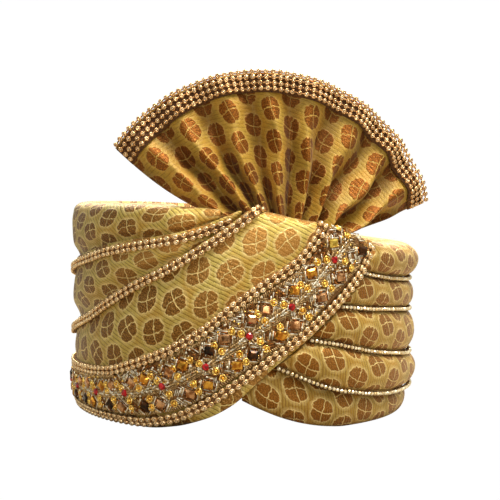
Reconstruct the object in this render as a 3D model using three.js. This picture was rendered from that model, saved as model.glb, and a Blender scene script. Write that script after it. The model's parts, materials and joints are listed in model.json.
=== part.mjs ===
// A tied wedding turban. A hollow cloth cap is wound with three overlapping wraps on the left and five
// padded rolls on the right, a jewelled band crosses the front, and a pleated fan stands on top.
// Millimetres, +Z up, the front towards -Y. The turban stands on its own lower edge at Z = 0.
import * as THREE from "three";

// Driving dimensions. An offset is a distance outside the plain winding, negative towards the head.
const HEAD_HALF_WIDTH = 86; // with the half length, a head of 573 mm round
const HEAD_HALF_LENGTH = 96;
const WINDING = 32; // from the inside of the cap to the plain winding
const GAP = 0.4; // left between neighbouring pieces

const CAP_WALL = 3;
const CAP_SHOULDER = 94; // height at which the wall turns into the dome
const CAP_RISE = 26; // of the dome above the shoulder
const CAP_RECESS = 2.5; // of the cap's edge above the turban's lower edge

const WRAP_FLARE = 1.8; // how far a wrap leans out from bottom to top
const WRAP_BULGE = 1;
const HEM_WALL = 2.6; // thickness of the hem that lies over the next wrap
const HEM_RISE = 5.5; // of a hem's edge above the middle of its bead trim
const RIM_ROUND = 7; // rounding of the crown's upper edge
const EDGE_ROUND_HEIGHT = 14; // rounding of the crown's lower edge on the left
const EDGE_ROUND_DEPTH = 8;
const DIVE = 7.2; // how far the two upper wraps sink behind the fan's foot
const CREASE_DEPTH = 8; // of the tucked seam down the back
const CREASE_WIDTH = 10; // on each side of the seam, in degrees
const SEAM = 155; // azimuth of the seam, on the left

const GROOVE = -9; // offset at the bottom of the groove between two rolls
const CHAIN_RADIUS = 1.65;
const CHAIN_OFFSET = -2.2;

const TRIM_HALF_WIDTH = 3.8; // two rows of 4 mm beads
const TRIM_HALF_DEPTH = 1.8;
const BAND_WALL = 2.2;
const STONE_HEIGHT = 2;

const FAN_PLEATS = 8;
const FAN_WALL = 3; // measured square to the fan as a whole
const FAN_CENTRE_X = 10; // the fan's edge is an arc of a circle seen from the front
const FAN_CENTRE_Z = 116;
const FAN_RADIUS = 117;
const FAN_LEFT_ANGLE = 144.4;
const FAN_RIGHT_ANGLE = 15.3;
const FAN_FRONT_Y = -104; // the left half stands in this plane and the right half sweeps back
const FAN_SWEEP = 54;
const FAN_FOOT_OFFSET = -19.4;
const FAN_FOOT_LEFT = -2.5; // azimuths of the fan's foot
const FAN_FOOT_RIGHT = 36;
const FAN_SAG = 8; // of the left side below a straight line
const POCKET_DEPTH = 16; // room for the fan's foot behind the front wrap
const POCKET_OFFSET = -10;
const BORDER_WIDTH = 15; // four rows of beads
const BORDER_DEPTH = 3.6;

const OUTER_HALF_WIDTH = HEAD_HALF_WIDTH + WINDING;
const OUTER_HALF_LENGTH = HEAD_HALF_LENGTH + WINDING;
const CAP_OUTSIDE = CAP_WALL - WINDING;
const INSIDE = CAP_OUTSIDE + 2 * GAP; // offset of the inner faces of the wraps and rolls
const RAD = Math.PI / 180;

// Tables

// One function of azimuth for each column: a smooth line through the rows that never overshoots them
function table(names, rows) {
  const azimuths = rows.map((row) => row[0]);
  const columns = {};
  names.forEach((name, k) => {
    if (k > 0) columns[name] = smoothLine(azimuths, rows.map((row) => row[k]));
  });
  return columns;
}

function smoothLine(at, value) {
  const rise = (i) => (value[i + 1] - value[i]) / (at[i + 1] - at[i]);
  const slopes = value.map((_, i) => {
    if (i === 0) return rise(0);
    if (i === value.length - 1) return rise(i - 1);
    const before = rise(i - 1);
    const after = rise(i);
    return before * after > 0 ? (2 * before * after) / (before + after) : 0;
  });
  return (x) => {
    let i = 0;
    while (i < at.length - 2 && x > at[i + 1]) i++;
    const width = at[i + 1] - at[i];
    const t = THREE.MathUtils.clamp((x - at[i]) / width, 0, 1);
    const blend = t * t * (3 - 2 * t);
    const bend = t * (1 - t) * width;
    const curve = bend * (slopes[i] * (1 - t) - slopes[i + 1] * t);
    return value[i] * (1 - blend) + value[i + 1] * blend + curve;
  };
}

// Heights on the left and over the front: the crown's rim, the middles of the four bead trims, and the
// lower edge of the front wrap. A trim that has passed the rim has run out.
const left = table(
  ["azimuth", "rim", "upperTrim", "lowerTrim", "bandTop", "bandLow", "hem"],
  [
    [-155, 141, 78, 48, 36, 8, 0],
    [-120, 144, 86, 49, 35, 8, 0],
    [-90, 145, 96.5, 54, 34.5, 7.5, 0],
    [-75, 145, 102.5, 60.5, 34.3, 7, 0],
    [-60, 145.5, 108.5, 69, 34.8, 6.2, 0],
    [-48, 146, 114.5, 80.5, 36.8, 5.6, 0],
    [-36, 146, 119, 93, 43.6, 5.4, 0],
    [-24, 145, 123, 104.7, 53.3, 9, 2.6],
    [-13, 144, 129.2, 118, 66.2, 18.1, 9],
    [-4, 142.5, 136.5, 130.3, 81.2, 29.7, 18.5],
    [2, 142.5, 141, 139.5, 90.8, 38.6, 29],
    [8, 141.5, 144, 144.5, 99, 47.4, 40.6],
    [16, 137.8, 147, 150, 110.4, 59.4, 53.2],
    [20, 136.4, 148.5, 152.5, 119.2, 65.8, 59.6],
    [24, 135, 150, 155, 131.5, 72.6, 66.4],
    [31, 130.5, 152, 160, 151, 85.4, 79],
    [38, 125.5, 154, 163, 165, 100.4, 93],
    [43, 122.8, 155, 165, 175, 118.5, 110],
    [46, 121.8, 156, 166, 180, 128, 119],
  ],
);

// Heights on the right: the crown's rim, the four stone chains that part the rolls, and the lower edge
const right = table(
  ["azimuth", "rim", "chain1", "chain2", "chain3", "chain4", "foot"],
  [
    [-2, 142, 122, 100, 74, 52, 21.3],
    [6, 141, 118, 95, 69, 46, 14],
    [14, 138.5, 114, 89.5, 63.5, 39.2, 8],
    [22, 135.5, 110, 84.5, 59.3, 32.3, 3.8],
    [30, 131, 106.5, 80.8, 56.2, 26.6, 1.2],
    [38, 125.5, 103, 78.6, 52.4, 23.4, 0],
    [46, 121.8, 99.3, 76.8, 48.8, 20.8, 0],
    [60, 119.5, 95, 74.5, 44.8, 18.5, 0],
    [80, 117.5, 92.4, 71.3, 41.2, 18.3, 0],
    [110, 117, 92, 70, 41, 18.5, 0],
    [150, 121, 95, 72, 44, 20, 0],
    [180, 130, 101, 76, 47.5, 21.5, 0],
    [205, 141, 107, 80, 50, 23, 0],
  ],
);

const rolls = [
  { name: "roll_1", low: right.chain1, high: right.rim, crest: 4.2, groove: -12 },
  { name: "roll_2", low: right.chain2, high: right.chain1, crest: 1.4, groove: GROOVE },
  { name: "roll_3", low: right.chain3, high: right.chain2, crest: 1.8, groove: GROOVE },
  { name: "roll_4", low: right.chain4, high: right.chain3, crest: 2.3, groove: GROOVE },
  { name: "roll_5", low: right.foot, high: right.chain4, crest: -4.4, groove: -12 },
];

const chains = [
  { name: "stone_chain_1", height: right.chain1 },
  { name: "stone_chain_2", height: right.chain2 },
  { name: "stone_chain_3", height: right.chain3 },
  { name: "stone_chain_4", height: right.chain4 },
];

// Azimuths of the red stones down the middle of the band, one to a cell of the embroidery
const CELLS = [27.8, 14.1, 1.4, -11.6, -25.6, -39.8, -54, -69, -84, -99, -114, -129, -143];

// The stones of one cell: how far along the band, across it as a share of its half width, and turned on it
const cellStones = [
  { name: "red_stone", along: 0, across: 0, turn: 0, outline: [2.2, 2.2], corner: 0.58, material: "ruby" },
  { name: "upper_mirror", along: -7.5, across: 0.46, turn: 42, outline: [3.1, 2.6], corner: 0.2, material: "mirror" },
  { name: "lower_mirror", along: 5, across: -0.66, turn: 42, outline: [3.1, 2.6], corner: 0.2, material: "mirror" },
];

// Azimuths of the sections that all the wound pieces share
const GRID = [
  -152, -148, -144, -137, -129, -120, -111, -102, -93, -85, -77, -69, -61, -54, -47, -41, -35, -29, -23,
  -18, -13, -9, -5, -1, 3, 7, 11, 15, 19, 23, 27, 31, 35, 39, 42, 44.6, 46, 51, 57, 64, 72, 81, 92, 104, 116,
  128, 140, 152, 164, 176, 187, 195, 199, 202,
];

// Geometry helpers

function place(azimuth, offset, z, scale = 1) {
  const x = (OUTER_HALF_WIDTH + offset) * scale * Math.sin(azimuth * RAD);
  const y = -(OUTER_HALF_LENGTH + offset) * scale * Math.cos(azimuth * RAD);
  return new THREE.Vector3(x, y, z);
}

function ease(from, to, x) {
  return THREE.MathUtils.smoothstep(x, from, to);
}

function mix(a, b, t) {
  return a + (b - a) * t;
}

// The ends of a piece and every shared section between them
function sectionAzimuths(from, to) {
  const between = GRID.filter((azimuth) => azimuth > from + 0.8 && azimuth < to - 0.8);
  return [from, ...between, to];
}

// Triangles over a closed loop of points, turning the same way as the loop
function coverLoop(loop) {
  const normal = new THREE.Vector3();
  loop.forEach((p, i) => {
    const q = loop[(i + 1) % loop.length];
    normal.x += (p.y - q.y) * (p.z + q.z);
    normal.y += (p.z - q.z) * (p.x + q.x);
    normal.z += (p.x - q.x) * (p.y + q.y);
  });
  normal.normalize();
  const side = new THREE.Vector3(0, 0, 1);
  if (Math.abs(normal.z) > 0.9) side.set(1, 0, 0);
  const u = new THREE.Vector3().crossVectors(side, normal).normalize();
  const v = new THREE.Vector3().crossVectors(normal, u);
  const flat = loop.map((p) => new THREE.Vector2(p.dot(u), p.dot(v)));
  return THREE.ShapeUtils.triangulateShape(flat, []).map(([a, b, c]) => {
    const ab = flat[b].clone().sub(flat[a]);
    const ac = flat[c].clone().sub(flat[a]);
    return ab.cross(ac) > 0 ? [a, b, c] : [a, c, b];
  });
}

// A closed solid through loops of equal length, capped at both ends, with its faces turned outwards
function loft(loops) {
  const size = loops[0].length;
  const points = loops.flat();
  const faces = [];
  for (let i = 0; i + 1 < loops.length; i++) {
    for (let j = 0; j < size; j++) {
      const k = (j + 1) % size;
      const a = i * size + j;
      const b = i * size + k;
      const c = a + size;
      const d = b + size;
      if (points[a].distanceTo(points[d]) < points[b].distanceTo(points[c])) {
        faces.push([a, b, d], [a, d, c]);
      } else {
        faces.push([a, b, c], [b, d, c]);
      }
    }
  }
  const last = (loops.length - 1) * size;
  coverLoop(loops[0]).forEach(([a, b, c]) => faces.push([a, c, b]));
  coverLoop(loops[loops.length - 1]).forEach(([a, b, c]) => faces.push([last + a, last + b, last + c]));
  let volume = 0;
  const normal = new THREE.Vector3();
  faces.forEach(([a, b, c]) => {
    volume += points[a].dot(normal.crossVectors(points[b], points[c]));
  });
  const turned = volume > 0 ? faces : faces.map(([a, b, c]) => [a, c, b]);
  const geometry = new THREE.BufferGeometry().setFromPoints(points);
  geometry.setIndex(turned.flat());
  geometry.computeVertexNormals();
  return geometry;
}

// Cloth surfaces

// How far a surface sinks into the seam down the back
function crease(azimuth) {
  const from = Math.abs(azimuth < 25 ? azimuth + SEAM : azimuth + SEAM - 360);
  return -CREASE_DEPTH * (1 - ease(0, CREASE_WIDTH, from));
}

// How far the two upper wraps sink behind the front wrap and the fan
function dive(azimuth) {
  return -DIVE * ease(-24, -11.5, azimuth);
}

const middleTop = (azimuth) => Math.min(left.upperTrim(azimuth) + HEM_RISE, left.rim(azimuth));
const frontTop = (azimuth) => Math.min(left.lowerTrim(azimuth) + HEM_RISE, left.rim(azimuth));

// 0 where the front wrap ends in a hem, 1 where it is itself the crown's rim
const frontRim = (azimuth) => ease(-4, 8, azimuth);

function wrapOffset(low, high, z) {
  const u = THREE.MathUtils.clamp((z - low) / (high - low), 0, 1);
  return -0.6 + WRAP_FLARE * u + WRAP_BULGE * 4 * u * (1 - u);
}

function frontOffset(azimuth, z) {
  const hem = left.hem(azimuth);
  const round = 1 - ease(-22, -8, azimuth);
  const drop = THREE.MathUtils.clamp((hem + EDGE_ROUND_HEIGHT - z) / EDGE_ROUND_HEIGHT, 0, 1);
  const tuck = -EDGE_ROUND_DEPTH * round * (1 - Math.sqrt(1 - drop * drop));
  return wrapOffset(hem, frontTop(azimuth), z) + tuck + crease(azimuth);
}

function middleOffset(azimuth, z) {
  const low = frontTop(azimuth);
  return wrapOffset(low, middleTop(azimuth), z) + crease(azimuth) + dive(azimuth);
}

function upperOffset(azimuth, z) {
  const low = middleTop(azimuth);
  return wrapOffset(low, left.rim(azimuth), z) + crease(azimuth) + dive(azimuth);
}

// The face of a hem towards the head, and the height of the step behind it
const middleHemInside = (azimuth) => middleOffset(azimuth, middleTop(azimuth)) - HEM_WALL;
const middleStep = (azimuth) => middleTop(azimuth) - HEM_RISE - 2;
const frontHemInside = (azimuth) => {
  const hem = frontOffset(azimuth, frontTop(azimuth)) - HEM_WALL;
  return mix(hem, POCKET_OFFSET, frontRim(azimuth));
};
const frontStep = (azimuth) => {
  const hem = frontTop(azimuth) - HEM_RISE - 2;
  const pocket = left.rim(azimuth) - Math.min(POCKET_DEPTH, 0.6 * (left.rim(azimuth) - left.hem(azimuth)));
  return mix(hem, pocket, frontRim(azimuth));
};

// Sections of the wound pieces, as pairs of offset and height

function upperWrapSection(azimuth) {
  const inside = mix(INSIDE, POCKET_OFFSET, ease(-34, -19, azimuth));
  const rim = left.rim(azimuth);
  const low = middleStep(azimuth) + GAP;
  const tuck = middleHemInside(azimuth) - GAP;
  const bare = middleTop(azimuth) + GAP;
  const room = upperOffset(azimuth, rim) - inside - 0.6;
  const round = Math.min(RIM_ROUND, 0.6 * (rim - bare), room);
  const top = upperOffset(azimuth, rim - round);
  const outside = [0.22, 0.48, 0.75].map((share) => {
    const z = mix(bare, rim - round, share);
    return [mix(tuck, upperOffset(azimuth, z), ease(0, 0.5, share)), z];
  });
  return [
    [inside, low],
    [tuck, low],
    [tuck, bare],
    ...outside,
    [top, rim - round],
    [top - 0.3 * round, rim - 0.3 * round],
    [top - round, rim],
    [inside, rim],
  ];
}

function middleWrapSection(azimuth) {
  const inside = mix(INSIDE, POCKET_OFFSET, ease(-20, -9, azimuth));
  const top = middleTop(azimuth);
  const low = frontStep(azimuth) + 2 * GAP;
  const tuck = frontHemInside(azimuth) - GAP;
  const bare = frontTop(azimuth) + GAP;
  const outside = [0.2, 0.45, 0.72].map((share) => {
    const z = mix(bare, top - 0.8, share);
    const sunk = Math.min(tuck, middleOffset(azimuth, z));
    return [mix(sunk, middleOffset(azimuth, z), ease(0, 0.45, share)), z];
  });
  const edge = middleOffset(azimuth, top);
  const hem = middleHemInside(azimuth);
  const foot = Math.min(tuck, middleOffset(azimuth, bare));
  return [
    [inside, low],
    [foot, low],
    [foot, bare],
    ...outside,
    [edge, top - 0.8],
    [edge - 0.8, top],
    [hem, top],
    [hem, middleStep(azimuth)],
    [Math.min(inside, hem - 0.6), middleStep(azimuth)],
  ];
}

function frontWrapSection(azimuth) {
  const hem = left.hem(azimuth);
  const top = frontTop(azimuth);
  const height = top - hem;
  const rim = frontRim(azimuth);
  const round = Math.min(mix(1.2, RIM_ROUND, rim), 0.4 * height);
  const edge = Math.min(EDGE_ROUND_HEIGHT, 0.3 * height);
  const lower = [0, 0.2, 0.55, 1].map((share) => hem + edge * share);
  const upper = [0.3, 0.6, 0.85].map((share) => mix(hem + edge, top - round, share));
  const outside = [...lower, ...upper, top - round].map((z) => [frontOffset(azimuth, z), z]);
  const crest = frontOffset(azimuth, top - round);
  const inside = Math.min(frontHemInside(azimuth), crest - round - 0.6);
  return [
    [INSIDE, hem],
    ...outside,
    [crest - 0.3 * round, top - 0.3 * round],
    [crest - round, top],
    [inside, top],
    [inside, frontStep(azimuth)],
    [INSIDE, frontStep(azimuth)],
  ];
}

function rollOffset(roll, azimuth, z) {
  const low = roll.low(azimuth);
  const high = roll.high(azimuth);
  const from = (z - (low + high) / 2) / ((high - low) / 2);
  const round = Math.sqrt(Math.max(0, 1 - from * from));
  return mix(roll.groove, roll.crest, round) + crease(azimuth);
}

// A roll ends at the front wrap's lower edge, which lies across it
function rollSection(roll, azimuth) {
  const low = roll.low(azimuth) + (roll.low === right.foot ? 0 : GAP / 2);
  const free = roll.high(azimuth) - GAP / 2;
  const high = azimuth < 46 ? Math.min(free, left.hem(azimuth) - 3 * GAP) : free;
  const shares = [0, 0.08, 0.25, 0.5, 0.75, 0.92, 1];
  const outside = shares.map((share) => {
    const z = mix(low, high, share);
    return [rollOffset(roll, azimuth, z), z];
  });
  return [[INSIDE, low], ...outside, [INSIDE, high]];
}

// The azimuth at which a line of heights comes out from under the front wrap
function comesOut(height, clearance) {
  let azimuth = -1;
  while (left.hem(azimuth) - height(azimuth) < clearance) azimuth += 0.1;
  return azimuth;
}

function wind(section, from, to) {
  const loops = sectionAzimuths(from, to).map((azimuth) =>
    section(azimuth).map(([offset, z]) => place(azimuth, offset, z)),
  );
  return loft(loops);
}

// Trims, the band and its stones lie on a cloth surface

// A point on a surface with its outward normal
function onSurface(offset, azimuth, z) {
  const point = place(azimuth, offset(azimuth, z), z);
  const round = place(azimuth + 0.5, offset(azimuth + 0.5, z), z).sub(point);
  const up = place(azimuth, offset(azimuth, z + 0.5), z + 0.5).sub(point);
  return { point, normal: round.cross(up).normalize() };
}

// A direction along a line of heights on a surface
function alongLine(offset, height, azimuth) {
  const before = place(azimuth - 0.5, offset(azimuth - 0.5, height(azimuth - 0.5)), height(azimuth - 0.5));
  const after = place(azimuth + 0.5, offset(azimuth + 0.5, height(azimuth + 0.5)), height(azimuth + 0.5));
  return after.sub(before).normalize();
}

function beadTrim(offset, height, from, to) {
  const loops = sectionAzimuths(from, to).map((azimuth) => {
    const { point, normal } = onSurface(offset, azimuth, height(azimuth));
    const along = alongLine(offset, height, azimuth);
    const across = new THREE.Vector3().crossVectors(normal, along).normalize();
    const centre = point.addScaledVector(normal, GAP + 0.1 + TRIM_HALF_DEPTH);
    const outline = [[1, 0], [0.7, 1], [-0.7, 1], [-1, 0], [-0.7, -1], [0.7, -1]];
    return outline.map(([side, rise]) => {
      const corner = centre.clone().addScaledVector(across, side * TRIM_HALF_WIDTH);
      return corner.addScaledVector(normal, rise * TRIM_HALF_DEPTH);
    });
  });
  return loft(loops);
}

// Length around the winding for one degree
function perDegree(azimuth) {
  const x = OUTER_HALF_WIDTH * Math.cos(azimuth * RAD);
  const y = OUTER_HALF_LENGTH * Math.sin(azimuth * RAD);
  return RAD * Math.hypot(x, y);
}

function slopeAngle(height, azimuth) {
  return Math.atan((height(azimuth + 0.5) - height(azimuth - 0.5)) / perDegree(azimuth));
}

// How much taller a strip of a given width is when it runs at a slope
function steepness(height, azimuth) {
  return 1 / Math.cos(slopeAngle(height, azimuth));
}

const TRIM_ROOM = TRIM_HALF_WIDTH + GAP + 0.2;
const bandLow = (azimuth) => left.bandLow(azimuth) + TRIM_ROOM * steepness(left.bandLow, azimuth);
const bandHigh = (azimuth) => {
  const trim = left.bandTop(azimuth) - TRIM_ROOM * steepness(left.bandTop, azimuth);
  return Math.min(trim, left.rim(azimuth) - RIM_ROUND);
};
const bandMiddle = (azimuth) => (left.bandLow(azimuth) + left.bandTop(azimuth)) / 2;

function bandSection(azimuth) {
  const heights = [0, 0.25, 0.5, 0.75, 1].map((share) => mix(bandLow(azimuth), bandHigh(azimuth), share));
  const bottom = heights.map((z) => [frontOffset(azimuth, z) + GAP + 0.1, z]);
  const top = heights.map((z) => [frontOffset(azimuth, z) + GAP + 0.1 + BAND_WALL, z]);
  return [...bottom, ...top.reverse()];
}

// A low step-cut stone in its setting: a girdle, eight crown facets and a table
function cutStone([halfLength, halfWidth], corner) {
  const outline = [
    [1, 1 - corner], [1 - corner, 1], [corner - 1, 1], [-1, 1 - corner],
    [-1, corner - 1], [corner - 1, -1], [1 - corner, -1], [1, corner - 1],
  ];
  const levels = [
    { height: 0, size: 1 },
    { height: 0.5 * STONE_HEIGHT, size: 1 },
    { height: STONE_HEIGHT, size: 0.55 },
  ];
  const loops = levels.map(({ height, size }) =>
    outline.map(([x, y]) => new THREE.Vector3(x * halfLength * size, y * halfWidth * size, height)),
  );
  return loft(loops);
}

function placeStone(mesh, cell, stone) {
  const slope = slopeAngle(bandMiddle, cell);
  const half = (left.bandTop(cell) - left.bandLow(cell)) / 2 * Math.cos(slope) - TRIM_ROOM;
  const shift = Math.min(half, 17) * stone.across;
  const round = -stone.along * Math.cos(slope) - shift * Math.sin(slope);
  const up = -stone.along * Math.sin(slope) + shift * Math.cos(slope);
  const azimuth = cell + round / perDegree(cell);
  const { point, normal } = onSurface(frontOffset, azimuth, bandMiddle(cell) + up);
  const along = alongLine(frontOffset, bandMiddle, azimuth);
  const across = new THREE.Vector3().crossVectors(normal, along).normalize();
  const frame = new THREE.Matrix4().makeBasis(across.clone().cross(normal), across, normal);
  mesh.quaternion.setFromRotationMatrix(frame);
  mesh.rotateZ(-stone.turn * RAD);
  mesh.position.copy(point).addScaledVector(normal, 2 * GAP + 0.2 + BAND_WALL);
}

// The cap

function lowerEdge(azimuth) {
  const turned = azimuth > 205 ? azimuth - 360 : azimuth;
  return turned < -1.4 ? left.hem(turned) : right.foot(turned);
}

function crownCap() {
  const azimuths = Array.from({ length: 36 }, (_, i) => -1.4 + i * 10);
  const ring = (offset, height, scale = 1) =>
    azimuths.map((azimuth) => place(azimuth, offset, height(azimuth), scale));
  const dome = [82, 62, 41, 20].map((angle) => angle * RAD);
  const edge = (azimuth) => lowerEdge(azimuth) + CAP_RECESS;
  const outer = dome.map((angle) =>
    ring(CAP_OUTSIDE, () => CAP_SHOULDER + CAP_RISE * Math.sin(angle), Math.cos(angle)),
  );
  const inner = dome.map((angle) =>
    ring(-WINDING, () => CAP_SHOULDER + (CAP_RISE - CAP_WALL) * Math.sin(angle), Math.cos(angle)),
  );
  return loft([
    ...outer,
    ring(CAP_OUTSIDE, () => CAP_SHOULDER),
    ring(CAP_OUTSIDE, edge),
    ring(-WINDING, edge),
    ring(-WINDING, () => CAP_SHOULDER),
    ...inner.reverse(),
  ]);
}

// The fan. A share runs along its edge from left to right, and a reach from its foot to its edge.

function fanEdge(share) {
  const angle = mix(FAN_LEFT_ANGLE, FAN_RIGHT_ANGLE, share) * RAD;
  const swept = Math.max(0, Math.cos(angle) / Math.cos(FAN_RIGHT_ANGLE * RAD));
  const x = FAN_CENTRE_X + FAN_RADIUS * Math.cos(angle);
  const y = FAN_FRONT_Y + FAN_SWEEP * swept * swept;
  return new THREE.Vector3(x, y, FAN_CENTRE_Z + FAN_RADIUS * Math.sin(angle));
}

function fanFoot(share) {
  const azimuth = mix(FAN_FOOT_LEFT, FAN_FOOT_RIGHT, share);
  return place(azimuth, FAN_FOOT_OFFSET, left.rim(azimuth) - mix(8, 6, share));
}

function fanNormal(share) {
  const along = fanEdge(share + 0.01).sub(fanEdge(share - 0.01));
  const out = fanEdge(share).sub(fanFoot(share));
  return along.cross(out).normalize();
}

const fanLength = (share) => fanEdge(share).distanceTo(fanFoot(share));
const pleatHeight = (reach) => mix(6.4, 1.4, ease(0.35, 1, reach));

function fanPoint(share, reach, lift) {
  const sag = FAN_SAG * (1 - ease(0, 0.35, share)) + 1.5 * ease(0.7, 1, share);
  const pleat = -pleatHeight(reach) * Math.cos(2 * Math.PI * FAN_PLEATS * share);
  const point = fanFoot(share).lerp(fanEdge(share), reach);
  point.z -= sag * 4 * reach * (1 - reach);
  return point.addScaledVector(fanNormal(share), pleat + lift);
}

const fanShares = Array.from({ length: FAN_PLEATS * 5 + 1 }, (_, i) => i / (FAN_PLEATS * 5));

function fanCloth() {
  const reaches = [0, 0.2, 0.42, 0.66, 0.85, 1];
  const loops = fanShares.map((share) => [
    ...reaches.map((reach) => fanPoint(share, reach, FAN_WALL / 2)),
    ...reaches.toReversed().map((reach) => fanPoint(share, reach, -FAN_WALL / 2)),
  ]);
  return loft(loops);
}

function fanBorder() {
  const front = FAN_WALL / 2 + GAP + 0.1;
  const loops = fanShares.map((share) => {
    const reaches = [1 - BORDER_WIDTH / fanLength(share), 1];
    return [
      ...reaches.map((reach) => fanPoint(share, reach, front)),
      ...reaches.toReversed().map((reach) => fanPoint(share, reach, front + BORDER_DEPTH)),
    ];
  });
  return loft(loops);
}

// Materials

const materials = {
  brocade: new THREE.MeshStandardMaterial({ color: 0xa8844a, roughness: 0.62, metalness: 0.15 }),
  lining: new THREE.MeshStandardMaterial({ color: 0x8c6a38, roughness: 0.85, metalness: 0 }),
  fan: new THREE.MeshStandardMaterial({ color: 0x9c7436, roughness: 0.6, metalness: 0.15 }),
  beads: new THREE.MeshStandardMaterial({ color: 0x8c6038, roughness: 0.28, metalness: 0.85 }),
  embroidery: new THREE.MeshStandardMaterial({ color: 0x86714a, roughness: 0.5, metalness: 0.5 }),
  crystal: new THREE.MeshStandardMaterial({ color: 0xe0c49a, roughness: 0.12, metalness: 0.3 }),
  ruby: new THREE.MeshStandardMaterial({ color: 0x9c1a24, roughness: 0.1, metalness: 0 }),
  mirror: new THREE.MeshStandardMaterial({ color: 0x8a6220, roughness: 0.12, metalness: 0.7 }),
};

// Assembly

const turban = new THREE.Group();

function add(name, geometry, material, parent = turban) {
  const mesh = new THREE.Mesh(geometry, materials[material]);
  mesh.name = name;
  parent.add(mesh);
  return mesh;
}

const SEAM_EDGE = 0.1; // half the gap at the seam, in degrees

add("crown_cap", crownCap(), "lining");
add("upper_wrap", wind(upperWrapSection, SEAM_EDGE - SEAM, -8), "brocade");
add("middle_wrap", wind(middleWrapSection, SEAM_EDGE - SEAM, -1), "brocade");
add("front_wrap", wind(frontWrapSection, SEAM_EDGE - SEAM, 44.6), "brocade");

rolls.forEach((roll) => {
  const section = (azimuth) => rollSection(roll, azimuth);
  add(roll.name, wind(section, comesOut(roll.low, 3), 360 - SEAM - SEAM_EDGE), "brocade");
});

// A stone chain is a row of set stones in the groove between two rolls
const chainSection = new THREE.Shape(
  Array.from({ length: 8 }, (_, i) => {
    const angle = (i + 0.5) * 45 * RAD;
    return new THREE.Vector2(CHAIN_RADIUS * Math.cos(angle), CHAIN_RADIUS * Math.sin(angle));
  }),
);
chains.forEach(({ name, height }) => {
  const start = comesOut(height, 4);
  const end = 203;
  const points = Array.from({ length: 41 }, (_, i) => {
    const azimuth = mix(start, end, i / 40);
    return place(azimuth, CHAIN_OFFSET + crease(azimuth), height(azimuth));
  });
  const path = new THREE.CatmullRomCurve3(points);
  add(name, new THREE.ExtrudeGeometry(chainSection, { steps: 22, extrudePath: path }), "crystal");
});

add("upper_trim", beadTrim(middleOffset, left.upperTrim, -153, -6.5), "beads");
add("lower_trim", beadTrim(frontOffset, left.lowerTrim, -153, 2.4), "beads");
add("band_top_trim", beadTrim(frontOffset, left.bandTop, -153, 22.4), "beads");
add("band_low_trim", beadTrim(frontOffset, left.bandLow, -153, 42.6), "beads");
add("jewelled_band", wind(bandSection, -153, 37.5), "embroidery");

CELLS.forEach((cell, i) => {
  const setting = new THREE.Group();
  turban.add(setting);
  cellStones.forEach((stone) => {
    const mesh = add(`${stone.name}_${i + 1}`, cutStone(stone.outline, stone.corner), stone.material, setting);
    placeStone(mesh, cell, stone);
  });
});

add("fan", fanCloth(), "fan");
add("fan_border", fanBorder(), "beads");

export default turban;
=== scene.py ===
import json
import math
from functools import partial

import bpy
import numpy as np
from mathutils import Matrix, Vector

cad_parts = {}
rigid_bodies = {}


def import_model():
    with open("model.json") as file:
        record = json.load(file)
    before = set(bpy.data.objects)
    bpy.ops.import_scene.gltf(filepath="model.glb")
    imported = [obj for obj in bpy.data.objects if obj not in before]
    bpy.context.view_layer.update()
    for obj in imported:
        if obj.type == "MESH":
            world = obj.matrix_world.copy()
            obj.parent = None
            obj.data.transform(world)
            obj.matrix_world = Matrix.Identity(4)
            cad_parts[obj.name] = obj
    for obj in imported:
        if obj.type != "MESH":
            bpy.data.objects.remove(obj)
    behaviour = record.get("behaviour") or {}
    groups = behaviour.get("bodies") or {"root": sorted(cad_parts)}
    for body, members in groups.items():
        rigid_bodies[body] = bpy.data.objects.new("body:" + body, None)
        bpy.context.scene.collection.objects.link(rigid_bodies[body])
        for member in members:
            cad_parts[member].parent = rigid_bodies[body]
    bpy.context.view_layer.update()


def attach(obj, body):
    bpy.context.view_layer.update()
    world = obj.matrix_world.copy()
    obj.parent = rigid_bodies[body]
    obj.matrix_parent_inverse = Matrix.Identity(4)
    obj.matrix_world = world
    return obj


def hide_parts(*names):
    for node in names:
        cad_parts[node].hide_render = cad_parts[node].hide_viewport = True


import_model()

RNG = np.random.default_rng(11)
MM = 0.001
join = np.concatenate

# Driving dimensions, as in the part's source
HALF_W, HALF_L = 118.0, 128.0  # half axes of the plain winding
WINDING, GAP = 32.0, 0.4  # depth of the winding over the head, and room between neighbours
CAP_WALL, CAP_SHOULDER, CAP_RISE, CAP_RECESS = 3.0, 94.0, 26.0, 2.5
FLARE, BULGE = 1.8, 1.0  # how far a wrap leans out at its top, and swells halfway up
HEM_WALL, HEM_RISE, RIM_ROUND = 2.6, 5.5, 7.0
EDGE_H, EDGE_D = 14.0, 8.0  # rounding of the front wrap's lower edge
DIVE = 7.2  # how far the two upper wraps sink behind the front one
CREASE_D, CREASE_W, SEAM = 8.0, 10.0, 155.0  # the tucked seam at the back left
CHAIN_OFF, BAND_WALL, BORDER_W, TRIM_HALF = -2.2, 2.2, 15.0, 3.8
PLEATS, FAN_CX, FAN_CZ, FAN_R, FAN_A0, FAN_A1 = 8, 10.0, 116.0, 117.0, 144.4, 15.3
FAN_Y, FAN_SWEEP, FAN_SAG = -104.0, 54.0, 8.0
FOOT_OFF, FOOT_A0, FOOT_A1 = -19.4, -2.5, 36.0
POCKET_D, POCKET_OFF = 16.0, -10.0  # room behind the front wrap for the fan's foot
INSIDE = CAP_WALL - WINDING + 2 * GAP
LEAST_WALL, HEM_ROUND, MIDDLE_ROUND, HEM_FOOT = 0.6, 1.2, 0.9, 2.0
WRAP_SINK = 0.6  # how far a wrap's foot lies inside the plain winding
TRIM_CLEAR = 5.0  # cloth lies flat this near to a trim's line
COVER_END = 46.0  # the front wrap covers the rolls up to this azimuth
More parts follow.
